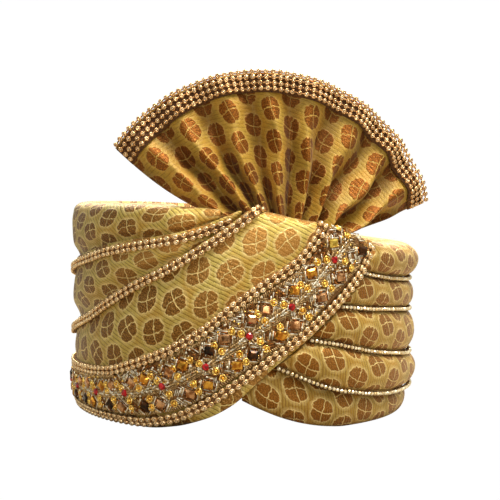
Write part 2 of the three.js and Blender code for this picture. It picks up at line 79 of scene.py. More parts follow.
# Azimuths between which the winding changes from left to right
DIVE_AZ, HEM_AZ, RIM_AZ, EDGE_AZ = (-24, -11.5), (-60, -18), (-4, 8), (-22, -8)
MIDDLE_END, UPPER_END = (-20, -9), (-34, -19)
TRIM_START = -153.0  # the band and the trims run from here, beside the seam
BACK_LEFT, BACK_RIGHT = 0.1 - SEAM, 360 - SEAM - 0.1

# Fineness of the meshes
FRONT_POINTS, TUCKED_POINTS, ROLL_POINTS, BAND_POINTS = 84, 44, 46, 24
PLEAT_POINTS, REACH_POINTS, CAP_POINTS, DOME_LOOPS = 20, 44, 120, 15
WIND_STEP = 1.0
END_STEPS = np.array((0.125, 0.3, 0.55, 0.85))  # closer azimuths at the ends of a wound piece


def smooth_line(at, value):
    """A smooth line through points, which rises and falls only as they do."""
    at, value = np.array(at, float), np.array(value, float)
    rise = np.diff(value) / np.diff(at)
    both = rise[:-1] * rise[1:]
    total = np.where(both > 0, rise[:-1] + rise[1:], 1.0)
    slope = join([rise[:1], np.where(both > 0, 2 * both / total, 0.0), rise[-1:]])

    def height(x):
        x = np.asarray(x, float)
        i = np.clip(np.searchsorted(at, x) - 1, 0, len(at) - 2)
        w = at[i + 1] - at[i]
        t = np.clip((x - at[i]) / w, 0, 1)
        b = t * t * (3 - 2 * t)
        bend = t * (1 - t) * w * (slope[i] * (1 - t) - slope[i + 1] * t)
        return value[i] * (1 - b) + value[i + 1] * b + bend

    return height


def table(names, rows):
    columns = list(zip(*rows))
    return {name: smooth_line(columns[0], columns[k + 1]) for k, name in enumerate(names)}


# Heights of the lines on the left and on the right, a row for each azimuth
LEFT = table(["rim", "upper", "lower", "top", "low", "hem"], [
    (-155, 141, 78, 48, 36, 8, 0), (-120, 144, 86, 49, 35, 8, 0), (-90, 145, 96.5, 54, 34.5, 7.5, 0),
    (-75, 145, 102.5, 60.5, 34.3, 7, 0), (-60, 145.5, 108.5, 69, 34.8, 6.2, 0),
    (-48, 146, 114.5, 80.5, 36.8, 5.6, 0), (-36, 146, 119, 93, 43.6, 5.4, 0),
    (-24, 145, 123, 104.7, 53.3, 9, 2.6), (-13, 144, 129.2, 118, 66.2, 18.1, 9),
    (-4, 142.5, 136.5, 130.3, 81.2, 29.7, 18.5), (2, 142.5, 141, 139.5, 90.8, 38.6, 29),
    (8, 141.5, 144, 144.5, 99, 47.4, 40.6), (16, 137.8, 147, 150, 110.4, 59.4, 53.2),
    (20, 136.4, 148.5, 152.5, 119.2, 65.8, 59.6), (24, 135, 150, 155, 131.5, 72.6, 66.4),
    (31, 130.5, 152, 160, 151, 85.4, 79), (38, 125.5, 154, 163, 165, 100.4, 93),
    (43, 122.8, 155, 165, 175, 118.5, 110), (46, 121.8, 156, 166, 180, 128, 119)])
RIGHT = table(["rim", "chain1", "chain2", "chain3", "chain4", "foot"], [
    (-2, 142, 122, 100, 74, 52, 21.3), (6, 141, 118, 95, 69, 46, 14), (14, 138.5, 114, 89.5, 63.5, 39.2, 8),
    (22, 135.5, 110, 84.5, 59.3, 32.3, 3.8), (30, 131, 106.5, 80.8, 56.2, 26.6, 1.2),
    (38, 125.5, 103, 78.6, 52.4, 23.4, 0), (46, 121.8, 99.3, 76.8, 48.8, 20.8, 0),
    (60, 119.5, 95, 74.5, 44.8, 18.5, 0), (80, 117.5, 92.4, 71.3, 41.2, 18.3, 0),
    (110, 117, 92, 70, 41, 18.5, 0), (150, 121, 95, 72, 44, 20, 0), (180, 130, 101, 76, 47.5, 21.5, 0),
    (205, 141, 107, 80, 50, 23, 0)])
# Rolls from the top: lower and upper line, crest and groove offsets, and one motif's place along and up
ROLLS = [
    ("roll_1", "chain1", "rim", 4.2, -12, 28, 16), ("roll_2", "chain2", "chain1", 1.4, -9, 28, 7),
    ("roll_3", "chain3", "chain2", 1.8, -9, 13, 12), ("roll_4", "chain4", "chain3", 2.3, -9, 1.5, 13),
    ("roll_5", "foot", "chain4", -4.4, -12, 15.2, 14)]
# Azimuths of the red stones
CELLS = [27.8, 14.1, 1.4, -11.6, -25.6, -39.8, -54, -69, -84, -99, -114, -129, -143]


def mix(a, b, t):
    return a + (b - a) * t


def ease(lo, hi, x):
    t = np.clip((np.asarray(x, float) - lo) / (hi - lo), 0, 1)
    return t * t * (3 - 2 * t)


def place(az, off, z, scale=1.0):
    a = np.radians(az)
    x, y = (HALF_W + off) * scale * np.sin(a), -(HALF_L + off) * scale * np.cos(a)
    return np.stack(np.broadcast_arrays(x, y, z), -1).astype(float)


def along_ellipse(az):
    """Lengths round the plain winding from azimuth 0."""
    turn = np.radians(az)
    step = np.hypot(HALF_W * np.cos(turn), HALF_L * np.sin(turn)) * (turn[1] - turn[0])
    return np.cumsum(step) - np.interp(0, az, np.cumsum(step))


ARC_AZ = np.linspace(-180, 240, 4201)
ARC_MM = along_ellipse(ARC_AZ)


def arc(az):
    return np.interp(az, ARC_AZ, ARC_MM)


def unit(v):
    return v / np.linalg.norm(v, axis=-1, keepdims=True)


def run_along(points):
    """Lengths along a row of points."""
    return join([[0], np.cumsum(np.linalg.norm(np.diff(points, axis=0), axis=1))])


# Cloth surfaces: offset from the plain winding at an azimuth and height

def crease(az):
    az = np.asarray(az, float)
    away = np.abs(np.where(az < 25, az + SEAM, az + SEAM - 360))
    return -CREASE_D * (1 - ease(0, CREASE_W, away))


def dive(az):
    return -DIVE * ease(*DIVE_AZ, az)


def hem_rise(az):
    return mix(HEM_RISE + 0.6, HEM_RISE - 1.2, ease(*HEM_AZ, az))


def wrap_top(line, az):
    return np.minimum(LEFT[line](az) + hem_rise(az), LEFT["rim"](az))


middle_top, front_top = partial(wrap_top, "upper"), partial(wrap_top, "lower")


def front_rim(az):
    """0 where the front wrap ends in a thin hem, 1 where it is the turban's rim."""
    return ease(*RIM_AZ, az)


def wrap_offset(low, high, z):
    u = np.clip((z - low) / (high - low), 0, 1)
    return -WRAP_SINK + FLARE * u + BULGE * 4 * u * (1 - u)


def front_offset(az, z):
    hem = LEFT["hem"](az)
    drop = np.clip((hem + EDGE_H - z) / EDGE_H, 0, 1)
    tuck = -EDGE_D * (1 - ease(*EDGE_AZ, az)) * (1 - np.sqrt(1 - drop * drop))
    return wrap_offset(hem, front_top(az), z) + tuck + crease(az)


def middle_offset(az, z):
    return wrap_offset(front_top(az), middle_top(az), z) + crease(az) + dive(az)


def upper_offset(az, z):
    return wrap_offset(middle_top(az), LEFT["rim"](az), z) + crease(az) + dive(az)


def ripple(az, z, size):
    """Soft uneven folds that follow the winding."""
    s = arc(az)
    long_wave = np.sin(0.17 * z - 0.05 * s + 1.3 * np.sin(0.021 * s))
    return size * (long_wave + 0.6 * np.sin(0.33 * z + 0.043 * s + 2.0))


def swollen(offset, az, z, low, high, most, waves):
    """A wrap's surface, swollen and softly folded between two lines that hold it down."""
    width = np.maximum(high - low, 1.0)
    t = np.clip((z - low) / width, 0, 1)
    swell = np.minimum(most, 0.085 * width) * np.sin(np.pi * t) ** 0.75
    return offset(az, z) + swell + ripple(az, z, waves) * np.clip(swell, 0, 1)


def front_skin(az, z):
    high = np.minimum(LEFT["lower"](az) - TRIM_CLEAR, LEFT["rim"](az) - 4)
    return swollen(front_offset, az, z, LEFT["top"](az) + TRIM_CLEAR, high, 4.2, 0.22)


def middle_skin(az, z):
    return swollen(middle_offset, az, z, front_top(az) + 1, LEFT["upper"](az) - TRIM_CLEAR, 2.4, 0.2)


def upper_skin(az, z):
    return swollen(upper_offset, az, z, middle_top(az) + 1, LEFT["rim"](az) - 3, 2.6, 0.25)


def front_inside(az):
    return mix(front_offset(az, front_top(az)) - HEM_WALL, POCKET_OFF, front_rim(az))


def front_step(az):
    rim, hem = LEFT["rim"](az), LEFT["hem"](az)
    pocket = rim - np.minimum(POCKET_D, 0.6 * (rim - hem))
    return mix(front_top(az) - HEM_RISE - HEM_FOOT, pocket, front_rim(az))


def middle_inside(az):
    return middle_offset(az, middle_top(az)) - HEM_WALL


def middle_step(az):
    return middle_top(az) - HEM_RISE - HEM_FOOT


def front_round(az, z):
    """The front wrap's surface with its rounded rim."""
    radius = mix(HEM_ROUND, RIM_ROUND, front_rim(az))
    over = np.clip((z - front_top(az) + radius) / radius, 0, 0.98)
    return front_offset(az, z) - radius * (1 - np.sqrt(1 - over * over))


# Mesh making

def make_object(name, verts, faces, material, uv=None, smooth=True, face_slots=None):
    """faces is a list of integer arrays, one polygon to a row; uv a list of arrays of the same length."""
    mesh = bpy.data.meshes.new(name)
    mesh.from_pydata(np.asarray(verts, float) * MM, [], [row for block in faces for row in block.tolist()])
    mesh.polygons.foreach_set("use_smooth", np.full(len(mesh.polygons), smooth))
    for item in material if isinstance(material, list) else [material]:
        mesh.materials.append(item)
    if face_slots is not None:
        mesh.polygons.foreach_set("material_index", np.asarray(face_slots, np.int32))
    if uv is not None:
        layer = mesh.uv_layers.new(name="Cloth")
        layer.data.foreach_set("uv", join([u.reshape(-1, 2) for u in uv]).ravel())
    mesh.validate()
    obj = bpy.data.objects.new(name, mesh)
    bpy.context.scene.collection.objects.link(obj)
    return obj


def piece(obj, slot, *nodes):
    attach(obj, "root")
    if nodes:
        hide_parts(*nodes)
    return obj


def loft(name, points, material, uv=None):
    """A closed skin over loops of points, with each point's place on the cloth in uv."""
    ni, nj = points.shape[:2]
    i, j = np.meshgrid(np.arange(ni - 1), np.arange(nj), indexing="ij")
    k = (j + 1) % nj
    quads = np.stack([i * nj + j, (i + 1) * nj + j, (i + 1) * nj + k, i * nj + k], -1).reshape(-1, 4)
    faces = [quads, np.arange(nj)[None, :], (ni - 1) * nj + np.arange(nj)[None, ::-1]]
    layers = []
    if uv is not None:
        closing = np.linalg.norm(points[:, :1] - points[:, -1:], axis=-1, keepdims=True)
        wide = join([uv, uv[:, -1:] + closing * (0.0, 1.0)], 1)
        sides = np.stack([wide[i, j], wide[i + 1, j], wide[i + 1, j + 1], wide[i, j + 1]], -2)
        layers = [sides, uv[0][None], uv[-1][None, ::-1]]
    flat = points.reshape(-1, 3)
    a, b, c = (flat[quads[:, n]] for n in (0, 1, 2))
    if np.einsum("ij,ij->i", a, np.cross(b, c)).sum() < 0:
        faces = [f[:, ::-1] for f in faces]
        layers = [u.reshape(-1, f.shape[1], 2)[:, ::-1] for u, f in zip(layers, faces)]
    return make_object(name, flat, faces, material, layers or None)


def wind(name, section, azimuths, pattern, material):
    """A wound piece. section gives offset, height and unrolled height; pattern maps those to the brocade."""
    points, uv = [], []
    for az in azimuths:
        off, z, run = section(az)
        points.append(place(az, off, z))
        u, v = pattern(arc(az), run)
        uv.append(np.stack(np.broadcast_arrays(u * MOTIF_P, v * MOTIF_Q), -1))
    return loft(name, np.array(points), material, np.array(uv))


def spaced(start, end):
    """Azimuths one step apart, and closer at both ends."""
    grid = np.linspace(start, end, int(abs(end - start) / WIND_STEP) + 1)
    return np.unique(np.round(join([grid, start + END_STEPS, end - END_STEPS]), 3))


def section_from(inside, bottom, outer_off, outer_z, after):
    """A closed section: bottom, outer face, then the points over the top and down the inside.
    Its run along the cloth is the height on the outer face."""
    before = [(inside, bottom), (outer_off[0] - 1.5, bottom)]
    points = join([before, np.column_stack([outer_off, outer_z]), after])
    run = run_along(points)
    first, last = len(before), len(points) - len(after) - 1
    run = join([run[:first] - run[first] + outer_z[0], outer_z, run[last + 1:] - run[last] + outer_z[-1]])
    return points[:, 0], points[:, 1], run


def round_over(top_off, top_z, radius, count=7):
    angles = np.linspace(0, math.pi / 2, count)[1:]
    return [(top_off - radius * (1 - math.cos(a)), top_z - radius + radius * math.sin(a)) for a in angles]


def front_section(az):
    hem, top = LEFT["hem"](az), front_top(az)
    radius = min(mix(HEM_ROUND, RIM_ROUND, front_rim(az)), 0.4 * (top - hem))
    z = mix(hem, top - radius, np.linspace(0, 1, FRONT_POINTS) ** 1.06)
    off = front_skin(az, z)
    over = round_over(off[-1], top, radius)
    inside = min(front_inside(az), off[-1] - radius - LEAST_WALL)
    step = front_step(az)
    return section_from(INSIDE, hem, off, z, over + [(inside, top), (inside, step), (INSIDE, step)])


def tucked_section(az, skin, low, tuck, bare, top, radius, inside, tail):
    """A section tucked behind the next wrap from low, which comes into the open at bare."""
    share = np.linspace(0, 1, TUCKED_POINTS)
    z = mix(bare, top - radius, share)
    free = skin(az, z)
    off = mix(np.minimum(tuck, free), free, ease(0, 0.35, share))
    off = join([[min(tuck, off[0])], off])
    z = join([[low], z])
    return section_from(inside, low, off, z, round_over(off[-1], top, radius) + tail(off[-1] - radius))


def middle_section(az):
    top, bare = middle_top(az), front_top(az) + GAP
    inside = mix(INSIDE, POCKET_OFF, ease(*MIDDLE_END, az))
    hem, step = middle_inside(az), middle_step(az)

    def tail(edge):
        wall = min(hem, edge - 0.3)
        return [(wall, top), (wall, step), (min(inside, hem - LEAST_WALL), step)]

    tuck, low = front_inside(az) - GAP, front_step(az) + 2 * GAP
    return tucked_section(az, middle_skin, low, tuck, bare, top, MIDDLE_ROUND, inside, tail)


def upper_section(az):
    rim, bare = LEFT["rim"](az), middle_top(az) + GAP
    inside = mix(INSIDE, POCKET_OFF, ease(*UPPER_END, az))
    radius = min(RIM_ROUND, 0.6 * (rim - bare), upper_offset(az, rim) - inside - LEAST_WALL)
    tuck, low = middle_inside(az) - GAP, middle_step(az) + GAP
    return tucked_section(az, upper_skin, low, tuck, bare, rim, radius, inside, lambda edge: [(inside, rim)])


def roll_section(low_line, high_line, crest, groove, az):
    low, high = RIGHT[low_line](az), RIGHT[high_line](az)
    end = high - GAP / 2
    if az < COVER_END:
        end = min(end, LEFT["hem"](az) - 3 * GAP)
    start = low + (0 if low_line == "foot" else GAP / 2)
    z = mix(start, end, 0.5 - 0.5 * np.cos(np.linspace(0.06, math.pi - 0.06, ROLL_POINTS)))
    z[0], z[-1] = start, end
    share = (z - (low + high) / 2) / ((high - low) / 2)
    body = np.sqrt(np.clip(1 - share * share, 0, 1))
    off = mix(groove, crest, body) + crease(az) + ripple(az, z, 0.28) * body
    off, z, _ = section_from(INSIDE, start, off, z, [(INSIDE, end)])
    run = run_along(np.column_stack([off, z]))
    return off, z, run - run[2]


def comes_out(height, clearance):
    """The azimuth at which a line comes out from under the front wrap."""
    az = -1.0
    while LEFT["hem"](az) - height(az) < clearance:
        az += 0.1
    return az


# Paths on a surface, for beads, stones and thread

def on_surface(offset, az, z):
    p = place(az, offset(az, z), z)
    around = place(az + 0.2, offset(az + 0.2, z), z) - p
    up = place(az, offset(az, z + 0.2), z + 0.2) - p
    return p, unit(np.cross(around, up))


def on_line(offset, height, az):
    return place(az, offset(az, height(az)), height(az))


def line_frames(offset, height, start, end, pitch):
    """Points at an even pitch along a line of heights, with along, across and normal directions."""
    az = np.linspace(start, end, 2400)
    length = run_along(on_line(offset, height, az))
    count = max(2, int(length[-1] / pitch))
    az = np.interp((np.arange(count) + 0.5) * length[-1] / count, length, az)
    p, normal = on_surface(offset, az, height(az))
    along = unit(on_line(offset, height, az + 0.1) - p)
    across = unit(np.cross(normal, along))
    return az, p, along, across, np.cross(along, across)


def tile(name, parts, centres, frames, scales, materials, smooth=True, kinds=None):
    """Copies of a template, a list of parts (vertices, face arrays, material index).
    kinds, where given, holds the material index of each copy."""
    all_verts, all_faces, slots, start = [], [], [], 0
    n = len(centres)
    for verts, faces, slot in parts:
        moved = np.einsum("nij,nvj->nvi", frames, verts[None] * scales[:, None, :]) + centres[:, None, :]
        all_verts.append(moved.reshape(-1, 3))
        base = start + np.arange(n)[:, None, None] * len(verts)
        for f in faces:
            all_faces.append((base + f[None]).reshape(-1, f.shape[1]))
            slots.append(np.full(n * len(f), slot) if kinds is None else np.repeat(kinds, len(f)))
        start += n * len(verts)
    return make_object(name, join(all_verts), all_faces, materials, None, smooth, join(slots))


def stacked(rings):
    """Template from rings of points, one above another, closed with a flat face at both ends."""
    sides, last = len(rings[0]), len(rings) - 1
    j = np.arange(sides)
    k = (j + 1) % sides
    quads = [np.stack([j, k, k + sides, j + sides], -1) + n * sides for n in range(last)]
    return join(rings), [join(quads), np.stack([j[::-1], last * sides + j])]


def lathe(profile, sides):
    """Template turned about Z; profile is a list of (radius, height)."""
    angles = (np.arange(sides) + 0.5) * 2 * math.pi / sides
    x, y = np.cos(angles), np.sin(angles)
    return stacked([np.stack([r * x, r * y, np.full(sides, h)], -1) for r, h in profile])


def ball(rings, sides):
    angles = np.linspace(-math.pi / 2, math.pi / 2, rings + 1)[1:-1]
    verts, (quads, _) = lathe([(math.cos(a), math.sin(a)) for a in angles], sides)
    top, bottom = len(verts), len(verts) + 1
    verts = join([verts, [[0, 0, 1], [0, 0, -1]]])
    j = np.arange(sides)
    k = (j + 1) % sides
    last = (rings - 2) * sides
    tris = join([np.stack([last + j, last + k, np.full(sides, top)], -1),
                 np.stack([k, j, np.full(sides, bottom)], -1)])
    return verts, [quads, tris]


def as_frames(along, across, normal):
    return np.stack([along, across, normal], -1)


def tilted(frames, amount):
    """Frames turned a little at random, as hand-set stones are."""
    a, b = RNG.uniform(-amount, amount, (2, len(frames)))
    normal = unit(frames[..., 2] + a[:, None] * frames[..., 0] + b[:, None] * frames[..., 1])
    across = unit(np.cross(normal, frames[..., 0]))
    return as_frames(np.cross(across, normal), across, normal)


# Materials

def math_sign(operation, turned=False):
    """A method that puts two values through one math node."""
    return lambda self, other: self.graph.math(operation, *((other, self) if turned else (self, other)))


class Value:
    """The output of a node, which takes the signs of arithmetic."""

    __add__, __sub__, __mul__, __truediv__ = map(math_sign, ("ADD", "SUBTRACT", "MULTIPLY", "DIVIDE"))
    __pow__, __mod__, __rsub__ = math_sign("POWER"), math_sign("FLOORED_MODULO"), math_sign("SUBTRACT", True)

    def __init__(self, graph, socket):
        self.graph, self.socket = graph, socket

    def __abs__(self):
        return self.graph.math("ABSOLUTE", self)


def linear(colour):
    """A screen colour of 0 to 255 as the shader's red, green, blue and alpha."""
    parts = [((c / 255 + 0.055) / 1.055) ** 2.4 if c > 10 else c / 255 / 12.92 for c in colour]
    return (*parts, 1.0)


class Graph:
    """Nodes of a material or room around its shader. A tuple given as a value is a screen colour."""

    def __init__(self, owner, shader="Principled BSDF"):
        owner.use_nodes = True
        self.owner, self.tree = owner, owner.node_tree
        self.shader = self.tree.nodes[shader]

    def put(self, socket, value):
        if isinstance(value, Value):
            self.tree.links.new(value.socket, socket)
        else:
            socket.default_value = linear(value) if isinstance(value, tuple) else value

    def node(self, kind, inputs=(), output=0, **settings):
        """inputs is a list of (socket's name or number, value)."""
        made = self.tree.nodes.new(kind)
        for key, value in settings.items():
            setattr(made, key, value)
        for socket, value in inputs:
            self.put(made.inputs[socket], value)
        return Value(self, made.outputs[output])

    def math(self, operation, *values):
        return self.node("ShaderNodeMath", enumerate(values), operation=operation)

    def blend(self, factor, a, b):
        return self.node("ShaderNodeMix", [(0, factor), (6, a), (7, b)], 2, data_type="RGBA")

    def step(self, value, low, high, first=0.0, last=1.0, kind="SMOOTHSTEP"):
        """Runs from first to last as value goes from low to high."""
        inputs = zip(("Value", "From Min", "From Max", "To Min", "To Max"), (value, low, high, first, last))
        return self.node("ShaderNodeMapRange", inputs, interpolation_type=kind)

    def noise(self, vector, scale, detail=2.0):
        inputs = [("Vector", vector), ("Scale", scale), ("Detail", detail)]
        return self.node("ShaderNodeTexNoise", inputs, "Fac")

    def bump(self, height, distance, strength=1.0):
        inputs = [("Strength", strength), ("Distance", distance), ("Height", height)]
        self.put(self.shader.inputs["Normal"], self.node("ShaderNodeBump", inputs))

    def finish(self, **inputs):
        for name, value in inputs.items():
            self.put(self.shader.inputs[name.replace("_", " ")], value)
        return self.owner


# The brocade's motif: four petals in a leaning rounded square, parted by two bent rifts
MOTIF_P, MOTIF_Q = 19.5, 21.5  # spacing of the motif columns, and of motifs in one column
PETALS_W, PETALS_H, ROUNDNESS = 8.1, 7.9, 2.4
LEAN_X, LEAN_Y = 0.26, 0.2
RIFT_X, RIFT_Y, BEND_X, BEND_Y = 0.4, -1.2, 0.02, 0.024
MOTIF_SHINE = 0.55  # the motif is woven in brighter metal thread than the ground
# The second colour is a painted sheen for the lit end of the cloth, the third painted shade for the pleats'
# valleys
WARM_PATCH, PAINTED_SHEEN, FOLD_SHADE = (200, 140, 40), (222, 160, 80), (72, 38, 2)
THREAD_RELIEF = 0.0006  # metres


def motif(g, uv, u, v):
    """How far a place is from the middle of its motif, 1 at the outline, and how far from a rift."""
    waver = g.noise(uv, 0.35, 1.0) * 2.4 - 1.2
    u, v = u + waver, v - waver
    column = g.math("ROUND", u / MOTIF_P)
    odd = column % 2.0
    shifted = v + odd * (MOTIF_Q / 2)
    row = g.math("ROUND", shifted / MOTIF_Q)
    x = u - column * MOTIF_P
    y = (shifted - row * MOTIF_Q) * (odd * 2.0 - 1.0)
    across = x * 0.97 + y * LEAN_X
    along = y * 0.97 - x * LEAN_Y
    rift = g.math("MINIMUM", abs(across - (y * y * BEND_X + RIFT_X)), abs(along + (x * x * BEND_Y + RIFT_Y)))
    jagged = g.noise(uv, 0.6, 1.0) * 0.44 - 0.22
    notch = g.step(rift, 0.0, 1.7, 0.2, 0.0)
    near = abs(across / PETALS_W) ** ROUNDNESS + abs(along / PETALS_H) ** ROUNDNESS + (jagged + notch)
    return near, rift


def brocade(name, rib, relief, grain, ground, groove, fill, vein, metallic=0.3, valley_shade=0.0, painted_light=None):
    """Ribbed cloth with a woven motif. rib is the distance from rib to rib along and across, and grain the
    share of bright specks in the motif. fold paints shade into the valleys between pleats two columns wide.
    gleam gives the places along between which the cloth goes from painted shade to a painted sheen, and how
    strongly the sheen lightens the motif and the shade darkens the ground."""
    g = Graph(bpy.data.materials.new(name))
    uv = g.node("ShaderNodeUVMap", uv_map="Cloth")
    u, v = (g.node("ShaderNodeSeparateXYZ", [(0, uv)], part) for part in "XY")
    near, rift = motif(g, uv, u, v)
    inside = g.step(near, 0.85, 1.1, 1.0, 0.0) * g.step(rift, 0.16, 0.5)
    edge = g.step(near, 1.05, 1.3, 1.0, 0.3) * (1.0 - inside) * g.step(near, 1.4, 2.0, 1.0, 0.0)
    ribs = u / rib[0] + v / rib[1] + g.noise(uv, 0.12, 1.0) * 0.5
    wave = abs(g.math("FRACT", ribs) - 0.5)
    fine, speck, patch = g.noise(uv, 1.3, 2.0), g.noise(uv, 1.1, 3.0), g.noise(uv, 0.045, 2.0)
    cloth = g.blend(g.step(wave, 0.34, 0.46) * (0.36 * relief), ground, groove)
    cloth = g.blend(g.step(patch, 0.4, 0.68, 0.0, 0.5), cloth, WARM_PATCH)
    cloth = g.blend(g.step(fine, 0.5, 0.72, 0.0, 0.5), cloth, groove)
    woven = g.blend(g.step(speck, 0.36, 0.62), *fill)
    specks = g.step(speck, 0.55, 0.68, 0.0, grain)
    # Painted light: along the cloth, the motif and its vein specks lighten with a painted sheen towards the
    # lit end, and the ground darkens with painted shade towards the other end
    if painted_light:
        dull, bright, motif_sheen, ground_shade = painted_light
        woven = g.blend(specks * g.step(u, dull, bright, 0.25, 1.0), woven, vein)
        woven = g.blend(g.step(u, dull, bright, 0.0, motif_sheen), woven, PAINTED_SHEEN)
        cloth = g.blend(g.step(u, dull, bright, ground_shade, 0.0), cloth, groove)
    else:
        woven = g.blend(specks, woven, vein)
    colour = g.blend(edge * 0.85, cloth, vein)
    colour = g.blend(inside * 0.94, colour, woven)
    # Painted shade, darkest in the valleys between the fan's pleats
    if valley_shade:
        depth = g.math("COSINE", u * (math.pi / MOTIF_P))
        colour = g.blend(g.step(depth, -0.3, 1.0, 0.0, valley_shade), colour, FOLD_SHADE)
    g.bump(wave * wave * (-0.55 * relief) + fine * 0.5 + inside * 0.35, THREAD_RELIEF)
    shine = inside * (MOTIF_SHINE - metallic) + metallic
    roughness = g.step(fine, 0.3, 0.7, 0.36, 0.56)
    return g.finish(
        Base_Color=colour, Roughness=roughness, Metallic=shine, Specular_IOR_Level=0.3, Sheen_Weight=0.05)


def speckled(name, low, high, scale, roughness, metallic, relief=0.0):
    """A finish whose colour and roughness vary between two colours; relief is in metres."""
    g = Graph(bpy.data.materials.new(name))
    fine = g.noise(g.node("ShaderNodeNewGeometry", output="Position"), scale, 2.0)
    if relief:
        g.bump(fine, relief, 0.7)
    colour = g.blend(g.step(fine, 0.38, 0.62), low, high)
    varied = g.step(fine, 0.3, 0.7, roughness, roughness + 0.08)
    return g.finish(Base_Color=colour, Roughness=varied, Metallic=metallic)


VEIN = (236, 208, 138)
CLOTH = brocade(
    "brocade_wrap", rib=(3.23, 3.587), relief=2.3, grain=0.85, ground=(212, 186, 96), groove=(92, 66, 8),
    fill=((72, 40, 2), (150, 98, 32)), vein=VEIN, painted_light=(5.0, 95.0, 0.5, 0.26))
# The rolls and the fan wear darker copies of the wraps' brocade: their darker ground is painted shade, on the
# rolls against the stronger light there and on the fan for the shade of its pleats
CLOTH_ROLL = brocade(
    "brocade_roll", rib=(2.2, 25.0), relief=2.3, grain=0.3, ground=(194, 160, 74), groove=(112, 70, 8),
    fill=((112, 64, 8), (158, 100, 28)), vein=VEIN, painted_light=(15.0, 125.0, 0.1, 0.45))
CLOTH_FAN = brocade(
    "brocade_fan", rib=(20.0, 2.7), relief=1.2, grain=0.25, ground=(168, 134, 48), groove=(92, 56, 6),
    fill=((92, 46, 2), (154, 86, 14)), vein=(196, 156, 74), metallic=0.1, valley_shade=0.5)
# Two colours, scale of the specks, roughness, metal and relief
CLOTH_CAP = speckled("cap_cloth", (122, 92, 42), (158, 126, 66), 900, 0.7, 0.05, 0.0003)
COPPER = speckled("copper_bead", (216, 174, 120), (250, 218, 166), 260, 0.24, 0.8)
# A bead's dark well disc is painted shade, and its pale dot a painted highlight
COPPER_WELL_SHADE = speckled("copper_well_shade", (118, 76, 38), (160, 112, 64), 400, 0.4, 0.5)
COPPER_HIGHLIGHT = speckled("copper_dot_highlight", (246, 216, 172), (255, 240, 212), 300, 0.2, 0.7)
BORDER_RING = speckled("border_bead", (194, 148, 96), (232, 192, 138), 260, 0.24, 0.8)
KNOTS = speckled("trim_knot", (148, 104, 56), (202, 154, 96), 500, 0.35, 0.6)
STRING = speckled("trim_thread", (106, 68, 30), (150, 106, 54), 1500, 0.7, 0.1, 0.0003)
# The border tape's own colour, darkened with painted shade
BORDER_TAPE = speckled("border_tape", (64, 36, 8), (104, 62, 18), 1500, 0.7, 0.1, 0.0003)
# The stone cups: metal darkened with painted shade for the gaps between the stones
SETTING = speckled("stone_cup", (76, 50, 20), (132, 96, 50), 500, 0.35, 0.7)
CRYSTAL = speckled("champagne_crystal", (222, 192, 136), (255, 242, 210), 420, 0.08, 0.5)
BAND_CLOTH = speckled("band_cloth", (92, 58, 20), (142, 98, 46), 1300, 0.55, 0.35, 0.0004)
SILVER = speckled("silver_bugle", (210, 196, 164), (252, 244, 224), 700, 0.25, 0.45)
THREAD = speckled("metal_thread", (148, 112, 62), (212, 178, 124), 700, 0.3, 0.65)
BRONZE = speckled("bronze_bugle", (92, 50, 14), (174, 108, 48), 700, 0.25, 0.85)
GOLD_METAL = speckled("gold_metal", (218, 164, 66), (255, 218, 124), 500, 0.2, 0.9)
RUBY = speckled("red_crystal", (120, 6, 14), (196, 24, 30), 380, 0.05, 0.1)
MIRRORS = [
    speckled("mirror_amber", (168, 98, 20), (226, 164, 60), 300, 0.08, 0.8),
    speckled("mirror_dark", (30, 18, 8), (84, 48, 18), 300, 0.06, 0.7),
    speckled("mirror_brown", (142, 88, 46), (214, 160, 110), 300, 0.08, 0.85),
    speckled("mirror_yellow", (190, 140, 30), (236, 204, 96), 300, 0.08, 0.7)]
GOLD_STONE = speckled("gold_stone", (222, 148, 26), (255, 214, 96), 320, 0.08, 0.5)


# The wound cloth

def lattice(along, up, column_step, column_lean, row_step, row_lean):
    """The brocade on cloth: one motif's place along and up, and the spacing and lean of columns and rows."""
    a, b = math.radians(column_lean), math.radians(row_lean)

    def pattern(s, z):
        column = ((s - along) * math.cos(a) + (z - up) * math.sin(a)) / column_step
        return column, ((z - up) * math.cos(b) - (s - along) * math.sin(b)) / row_step

    return pattern


# Wraps: section, last azimuth and lattice
WRAPS = [
    ("front_wrap", front_section, 44.6, lattice(-64.7, 85.5, 19.59, 14.1, 20.95, 28.2)),
    ("middle_wrap", middle_section, -1.0, lattice(-125.5, 91.3, 20.44, 16.5, 16.17, 10.4)),
    ("upper_wrap", upper_section, -8.0, lattice(-100.2, 137.0, 18.7, -19.6, 15.84, 5.4))]
for name, section, end, pattern in WRAPS:
    made = wind(name + "_cloth", section, spaced(BACK_LEFT, end), pattern, CLOTH)
    piece(made, "brocade", name)
for name, low_line, high_line, crest, groove, along, up in ROLLS:
    section = partial(roll_section, low_line, high_line, crest, groove)
    pattern = lattice(along, up, MOTIF_P, 0, MOTIF_Q, 0)
    azimuths = spaced(comes_out(RIGHT[low_line], 3), BACK_RIGHT)
    made = wind(name + "_cloth", section, azimuths, pattern, CLOTH_ROLL)
    piece(made, "brocade", name)


# The cap

CAP_SPLIT = -1.4  # left of this azimuth the cap's edge follows the front wrap's hem


def lower_edge(az):
    turned = np.where(az > 360 - SEAM, az - 360, az)
    return np.where(turned < CAP_SPLIT, LEFT["hem"](turned), RIGHT["foot"](turned))


